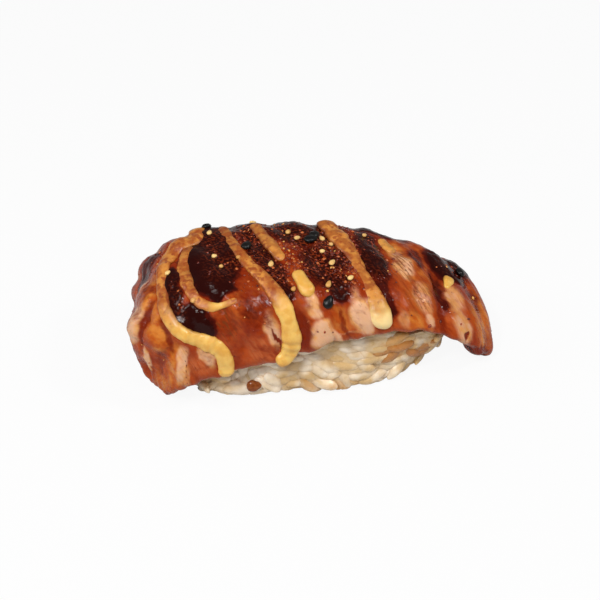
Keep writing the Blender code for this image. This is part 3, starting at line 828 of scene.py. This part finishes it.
def salmon_material():
    n = Nodes("salmon_flesh")
    broad, middle, fine = n.noise(6, 3, True), n.noise(2.6, 3, True), n.noise(0.9, 3, True)
    streak = n.noise((0.8, 5, 1), 3, True)
    flesh = n.mix(n.step(broad, 0.35, 0.65), srgb(138, 46, 12), srgb(164, 70, 24))
    flesh = n.mix(n.step(streak, 0.42, 0.68, 0, 0.5), flesh, srgb(112, 32, 8))
    raw = n.math("MULTIPLY", n.field("raw"), n.step(middle, 0.2, 0.6, 0.6, 1))
    flesh = n.mix(raw, flesh, n.mix(n.step(streak, 0.4, 0.6), srgb(166, 74, 32), srgb(186, 96, 50)))
    # orange flesh, and painted side light at the tail's right end
    orange_and_lit = n.math("MULTIPLY", n.field("orange_and_lit"), n.step(middle, 0.25, 0.6, 0.5, 1))
    flesh = n.mix(orange_and_lit, flesh, n.mix(n.step(middle, 0.4, 0.62), srgb(184, 92, 26), srgb(206, 130, 54)))
    flesh = n.mix(n.math("MULTIPLY", n.field("rim"), 0.7), flesh, srgb(158, 66, 24))
    pale = n.mix(n.step(middle, 0.4, 0.6), srgb(210, 162, 126), srgb(208, 152, 92))
    pale = n.mix(n.step(streak, 0.46, 0.66, 0, 0.45), pale, srgb(190, 112, 60))
    pale = n.mix(n.step(n.field("fat"), 0.7, 1, 0, 0.8), pale, srgb(206, 160, 126))
    fat = n.step(n.math("ADD", n.field("fat"), n.step(fine, 0, 1, -0.12, 0.12)), 0.12, 0.9)
    colour = n.mix(fat, flesh, pale)
    dark = n.math("ADD", n.field("dark"), n.step(fine, 0, 1, -0.2, 0.2))
    colour = n.mix(n.step(dark, 0.15, 0.9), colour, srgb(112, 32, 8))
    depth = n.math("ADD", n.field("glaze"), n.step(fine, 0, 1, -0.12, 0.12))
    colour = n.mix(n.step(depth, 0.14, 0.42, 0, 0.85), colour, srgb(114, 30, 6))
    colour = n.mix(n.step(depth, 0.34, 0.62), colour, srgb(60, 11, 4))
    lines = n.step(n.noise((0.34, 2.2, 1), 1, True), 0.50, 0.60, 0, 0.8)
    colour = n.mix(n.math("MULTIPLY", lines, n.field("score")), colour, srgb(104, 48, 20))
    dots = n.step(n.noise((0.5, 0.8, 1), 1, True), 0.62, 0.68, 0, 0.9)
    colour = n.mix(n.math("MULTIPLY", dots, n.field("char")), colour, srgb(64, 24, 12))
    speck = n.step(n.noise(0.55, 1, True), 0.70, 0.76)
    near = n.step(n.noise(5, 1, True), 0.50, 0.62, 0.0, 0.8)
    colour = n.mix(n.math("MULTIPLY", speck, near), colour, srgb(74, 30, 14))
    normal = n.bump(n.noise((0.35, 1.6, 1), 3, True), 0.10, 0.6)
    normal = n.bump(n.noise(0.25, 2, True), 0.04, 0.5, normal)
    gloss = n.step(n.noise(2.2, 2, True), 0.35, 0.65, 0.09, 0.32)
    n.shader.inputs["Specular IOR Level"].default_value = 0.12
    return n.finish(colour, gloss, normal, 0.12, (1, 0.35, 0.15), 1.5)


def glaze_material():
    n = Nodes("dark_glaze")
    fine = n.noise(0.9, 3, True)
    depth = n.math("ADD", n.field("glaze"), n.step(fine, 0, 1, -0.12, 0.12))
    colour = n.mix(n.step(depth, 0.40, 0.56), srgb(112, 38, 10), srgb(68, 13, 5))
    colour = n.mix(n.step(depth, 0.56, 0.85), colour, srgb(36, 5, 3))
    spice = n.math("MULTIPLY", n.field("spice"), n.step(n.noise(0.5, 2, True), 0.48, 0.6))
    colour = n.mix(n.math("MULTIPLY", spice, 0.8), colour, srgb(128, 48, 18))
    normal = n.bump(n.noise(1.2, 2, True), 0.12, 0.5)
    normal = n.bump(n.noise(0.3, 2, True), 0.05, 0.6, normal)
    gloss = n.step(n.noise(1.8, 2, True), 0.35, 0.65, 0.07, 0.2)
    n.shader.inputs["Specular IOR Level"].default_value = 0.12
    return n.finish(colour, gloss, normal)


def mayonnaise_material():
    n = Nodes("mayonnaise")
    patch, fine = n.noise(2.0, 3), n.noise(1.3, 3)
    cream = n.mix(n.step(patch, 0.35, 0.65), srgb(208, 154, 66), srgb(220, 176, 90))
    cream = n.mix(n.field("cream"), cream, srgb(230, 200, 138))
    brown = n.mix(n.step(patch, 0.4, 0.62), srgb(158, 82, 28), srgb(196, 128, 54))
    brown = n.mix(n.step(fine, 0.52, 0.62, 0, 0.8), brown, srgb(136, 56, 20))
    torch = n.step(n.math("ADD", n.field("torch"), n.step(patch, 0, 1, -0.25, 0.25)), 0.15, 0.9)
    colour = n.mix(torch, cream, brown)
    colour = n.mix(n.math("MULTIPLY", n.field("stain"), 0.8), colour, srgb(104, 42, 16))
    normal = n.bump(n.noise(0.7, 3), 0.12, 0.6)
    gloss = n.step(n.noise(1.6, 2), 0.35, 0.65, 0.3, 0.5)
    n.shader.inputs["Specular IOR Level"].default_value = 0.4
    return n.finish(colour, gloss, normal, 0.12, (1, 0.5, 0.2), 1.5)


def rice_material(name, light, dark):
    n = Nodes(name)
    cloud = n.noise(2.0, 2)
    # the grains' shade field carries random tone and painted light, lighter towards the left under the slice
    shade = n.math("ADD", n.field("shade"), n.step(n.noise(6, 2), 0.3, 0.7, -0.5, 0.5))
    colour = n.mix(n.step(shade, 0.1, 0.9), dark, light)
    # the sauce field also carries painted shade low on the rice, mixed to the same tan and brown
    sauce_and_shade_field = n.math("ADD", n.field("sauce_and_shade"), n.step(cloud, 0, 1, -0.2, 0.2))
    colour = n.mix(n.step(sauce_and_shade_field, 0.15, 0.55), colour, srgb(200, 146, 82))
    colour = n.mix(n.step(sauce_and_shade_field, 0.6, 0.95), colour, srgb(176, 112, 50))
    normal = n.bump(n.noise(1.1, 2), 0.14, 0.6)
    gloss = n.step(n.noise(1.5, 2), 0.35, 0.65, 0.2, 0.4)
    return n.finish(colour, gloss, normal, 0.2, (1, 0.8, 0.55), 3)


def seed_material(name, light, dark, gloss):
    n = Nodes(name)
    shade = n.math("ADD", n.field("shade"), n.step(n.noise(0.6, 2), 0, 1, -0.3, 0.3))
    colour = n.mix(n.step(shade, 0.1, 0.9), dark, light)
    n.shader.inputs["Specular IOR Level"].default_value = 0.25
    return n.finish(colour, gloss, n.bump(n.noise(0.3, 2), 0.05, 0.5))


def crumb_material():
    n = Nodes("spice")
    shade = n.field("shade")
    colour = n.mix(n.step(shade, 0.3, 0.5), srgb(92, 26, 12), srgb(134, 48, 18))
    colour = n.mix(n.step(shade, 0.72, 0.84), colour, srgb(176, 88, 34))
    colour = n.mix(n.step(shade, 0.93, 0.96), colour, srgb(216, 158, 80))
    return n.finish(colour, n.step(n.noise(0.5, 1), 0.3, 0.7, 0.2, 0.5))


# ---- the studio ----

def make_floor():
    size = 3000
    points = np.array([[-size, -size, 0], [size, -size, 0], [size, size, 0], [-size, size, 0]], float)
    n = Nodes("floor")
    n.shader.inputs["Base Color"].default_value = (0.6, 0.6, 0.6, 1)
    n.shader.inputs["Roughness"].default_value = 0.8
    n.shader.inputs["Specular IOR Level"].default_value = 0.1
    glow = n.node("ShaderNodeEmission")
    path = n.node("ShaderNodeLightPath")
    mix = n.node("ShaderNodeMixShader")
    n.link(n.math("MULTIPLY", path.outputs["Is Camera Ray"], 0.92), mix.inputs[0])
    n.link(n.shader.outputs[0], mix.inputs[1])
    n.link(glow.outputs[0], mix.inputs[2])
    n.link(mix.outputs[0], n.tree.nodes["Material Output"].inputs["Surface"])
    floor = make_object("floor", points, [[0, 1, 2, 3]], n.material, smooth=False)


def make_lamp(name, azimuth, elevation, distance, size, power):
    """A square lamp that faces the piece, at millimetres from it; azimuth 0 is the camera's side."""
    light = bpy.data.lights.new(name, "AREA")
    light.size = size * MM
    light.energy = power
    a, e = math.radians(azimuth), math.radians(elevation)
    back = Vector((math.sin(a) * math.cos(e), -math.cos(a) * math.cos(e), math.sin(e)))
    lamp = bpy.data.objects.new(name, light)
    lamp.location = Vector((0, 0, 12)) * MM + back * distance * MM
    lamp.rotation_mode = "QUATERNION"
    lamp.rotation_quaternion = (-back).to_track_quat("-Z", "Y")
    bpy.context.scene.collection.objects.link(lamp)


def make_studio():
    world = bpy.data.worlds.new("world")
    bpy.context.scene.world = world
    world.use_nodes = True
    tree = world.node_tree
    lit = tree.nodes["Background"]
    lit.inputs["Strength"].default_value = 0.2
    seen = tree.nodes.new("ShaderNodeBackground")
    path = tree.nodes.new("ShaderNodeLightPath")
    mix = tree.nodes.new("ShaderNodeMixShader")
    lit.inputs["Color"].default_value = seen.inputs["Color"].default_value = (1, 1, 1, 1)
    tree.links.new(path.outputs["Is Camera Ray"], mix.inputs[0])
    tree.links.new(lit.outputs[0], mix.inputs[1])
    tree.links.new(seen.outputs[0], mix.inputs[2])
    tree.links.new(mix.outputs[0], tree.nodes["World Output"].inputs["Surface"])
    make_lamp("softbox", -30, 52, 420, 60, 1.0)
    make_lamp("left_fill", -85, 35, 420, 90, 0.47)
    make_lamp("window", 75, 45, 450, 60, 0.75)
    make_lamp("spark_left", -8, 47, 500, 8, 0.36)
    make_lamp("spark_right", 22, 66, 500, 8, 0.30)


def make_camera():
    """The camera at the viewing angle: from the front, slightly from the left, looking down."""
    azimuth, elevation, distance = math.radians(-5), math.radians(40), 300 * MM
    back = Vector((math.sin(azimuth) * math.cos(elevation), -math.cos(azimuth) * math.cos(elevation),
                   math.sin(elevation)))
    data = bpy.data.cameras.new("camera")
    data.lens = 90
    data.sensor_width = 36
    data.shift_x, data.shift_y = -0.005, 0.01
    camera = bpy.data.objects.new("camera", data)
    camera.location = Vector((0, 0, 12)) * MM + back * distance
    camera.rotation_mode = "QUATERNION"
    camera.rotation_quaternion = (-back).to_track_quat("-Z", "Y")
    data.clip_start, data.clip_end = 0.01, 20
    bpy.context.scene.collection.objects.link(camera)
    bpy.context.scene.camera = camera


def main():
    bpy.context.scene.view_settings.view_transform = "Standard"
    make_camera()
    make_studio()
    make_floor()
    make_slice(salmon_material())
    make_glaze(glaze_material())
    make_sauce_drop(seed_material("sauce", srgb(146, 82, 38), srgb(104, 44, 16), 0.15))
    make_strands(mayonnaise_material())
    make_rice(rice_material("rice_core", srgb(228, 200, 160), srgb(216, 184, 138)),
              rice_material("rice_grains", srgb(248, 228, 200), srgb(210, 172, 118)))
    make_seeds("black_sesame", BLACK_SEEDS, 1.9, 1.2, seed_material("black_sesame", srgb(30, 28, 24),
                                                                    srgb(12, 10, 10), 0.35), 3)
    make_seeds("golden_sesame", GOLDEN_SEEDS, 1.05, 0.7, seed_material("golden_sesame", srgb(226, 190, 122),
                                                                      srgb(190, 134, 68), 0.35), 4)
    make_crumbs(crumb_material())


main()
